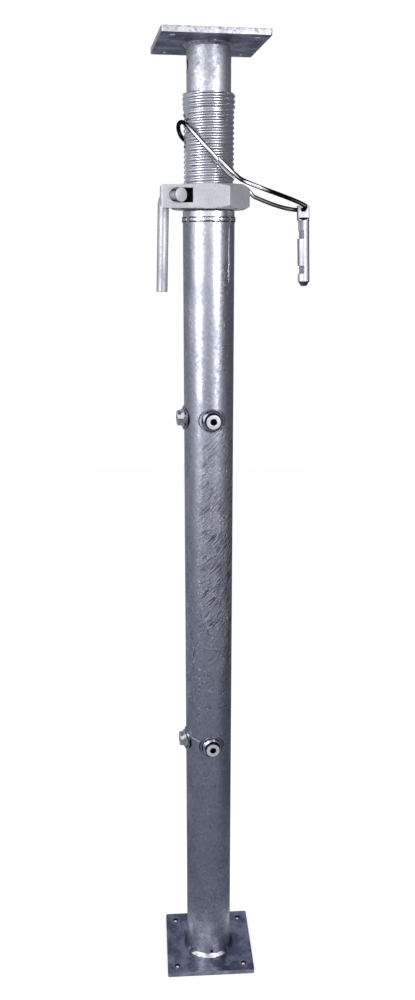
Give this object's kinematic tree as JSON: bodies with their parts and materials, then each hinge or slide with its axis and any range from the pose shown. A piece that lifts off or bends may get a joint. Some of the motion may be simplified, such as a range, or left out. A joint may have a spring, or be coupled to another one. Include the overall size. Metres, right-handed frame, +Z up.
{
  "type": "adjustable steel prop",
  "caption": "Adjustable steel prop with a telescopic inner tube, a threaded sleeve with a collar nut, a looped locking pin and square end plates.",
  "frame": {"origin": "centre of the foot plate's underside, on the tubes' axis", "axes": "+Z up along the tubes, X along the pin holes and slots, the bosses on the -X and -Y sides"},
  "size_m": [0.2295, 0.1676, 1.5],
  "materials": {
    "galvanised_tube": "hot-dip galvanised, mottled",
    "galvanised_plate": "hot-dip galvanised, dull",
    "galvanised_thread": "rolled thread, galvanised",
    "galvanised_boss": "galvanised",
    "weld": "galvanised weld bead",
    "cast_nut": "galvanised casting, satin",
    "zinc_bar": "zinc plated bar",
    "bright_rod": "bright zinc rod"
  },
  "bodies": {
    "outer": {"foot_plate": "galvanised_plate", "foot_weld": "weld", "outer_tube": "galvanised_tube", "threaded_sleeve": "galvanised_thread", "sleeve_weld": "weld", "boss_upper_front": "galvanised_boss", "boss_weld_upper_front": "weld", "boss_upper_left": "galvanised_boss", "boss_weld_upper_left": "weld", "boss_lower_front": "galvanised_boss", "boss_weld_lower_front": "weld", "boss_lower_left": "galvanised_boss", "boss_weld_lower_left": "weld"},
    "inner": {"inner_tube": "galvanised_tube", "stop_ring": "galvanised_plate", "head_weld": "weld", "head_plate": "galvanised_plate"},
    "loop": {"pin_loop": "bright_rod", "loop_weld": "bright_rod"},
    "nut": {"collar_nut": "cast_nut"},
    "handle": {"nut_handle": "zinc_bar"},
    "pin": {"locking_pin": "zinc_bar"}
  },
  "joints": [
    {"name": "inner_slide", "type": "slide", "parent": "outer", "child": "inner", "axis": [0, 0, 1], "range_m": [0, 1]},
    {"name": "nut_travel", "type": "slide", "parent": "outer", "child": "loop", "axis": [0, 0, 1], "range_m": [0, 0.098]},
    {"name": "nut_turn", "type": "hinge", "parent": "loop", "child": "nut", "pos_m": [0, 0, 1.288], "axis": [0, 0, 1], "range_deg": [0, 5040]},
    {"name": "handle_swing", "type": "hinge", "parent": "nut", "child": "handle", "pos_m": [-0.06797, -0.0158, 1.289], "axis": [-0.4894, 0.8721, 0], "range_deg": [-8, 88]},
    {"name": "pin_swing", "type": "hinge", "parent": "loop", "child": "pin", "pos_m": [0.13651, -0.02089, 1.2717], "axis": [0.1513, 0.9885, 0], "range_deg": [-110, 50]}
  ],
  "couplings": [
    {"joint": "nut_travel", "follows": "nut_turn", "m_per_rad": 0.001114}
  ]
}
